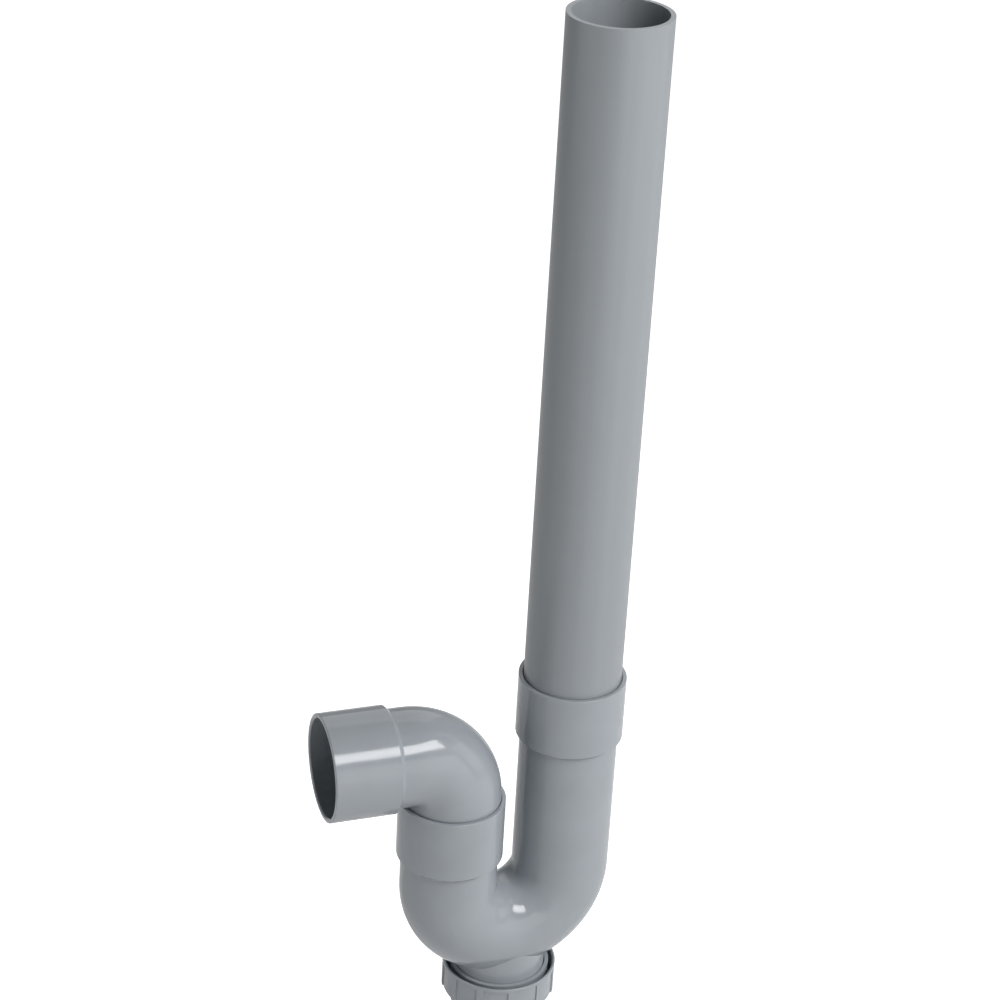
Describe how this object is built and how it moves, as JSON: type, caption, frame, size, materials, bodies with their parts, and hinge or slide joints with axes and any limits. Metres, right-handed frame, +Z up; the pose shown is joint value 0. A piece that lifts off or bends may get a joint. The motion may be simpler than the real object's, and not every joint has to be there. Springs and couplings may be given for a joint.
{
  "type": "washing machine trap",
  "caption": "Grey PVC trap for a washing machine: U-bend with a tall standpipe, a swivelling outlet elbow and a ribbed screw cap under the bend for cleaning.",
  "frame": {"origin": "centre of the outlet socket's mouth, where the waste pipe joins", "axes": "+Z up along the standpipe; the waste pipe leaves along -X and the trap stands along +X"},
  "size_m": [0.1286, 0.0499, 0.4273],
  "materials": {
    "moulded_pvc": "satin",
    "drawn_pvc": "satin",
    "cap_plastic": "satin",
    "seal_rubber": "matt"
  },
  "bodies": {
    "outlet": {"outlet_elbow": "moulded_pvc"},
    "trap": {"trap_bend": "moulded_pvc", "standpipe": "drawn_pvc"},
    "seal": {"cap_seal": "seal_rubber"},
    "cap": {"cleanout_cap": "cap_plastic"}
  },
  "joints": [
    {"name": "trap_swivel", "type": "hinge", "parent": "outlet", "child": "trap", "pos_m": [0.0552, 0, -0.0218], "axis": [0, 0, 1], "range_deg": [-124.3, 111.7]},
    {"name": "cap_travel", "type": "slide", "parent": "trap", "child": "seal", "axis": [0, 0, -1], "range_m": [0, 0.008]},
    {"name": "cap_unscrew", "type": "hinge", "parent": "seal", "child": "cap", "pos_m": [0.08084, 0.00283, -0.1099], "axis": [0, 0, -1], "range_deg": [0, 720]}
  ],
  "couplings": [
    {"joint": "cap_travel", "follows": "cap_unscrew", "m_per_rad": 0.00063662}
  ]
}
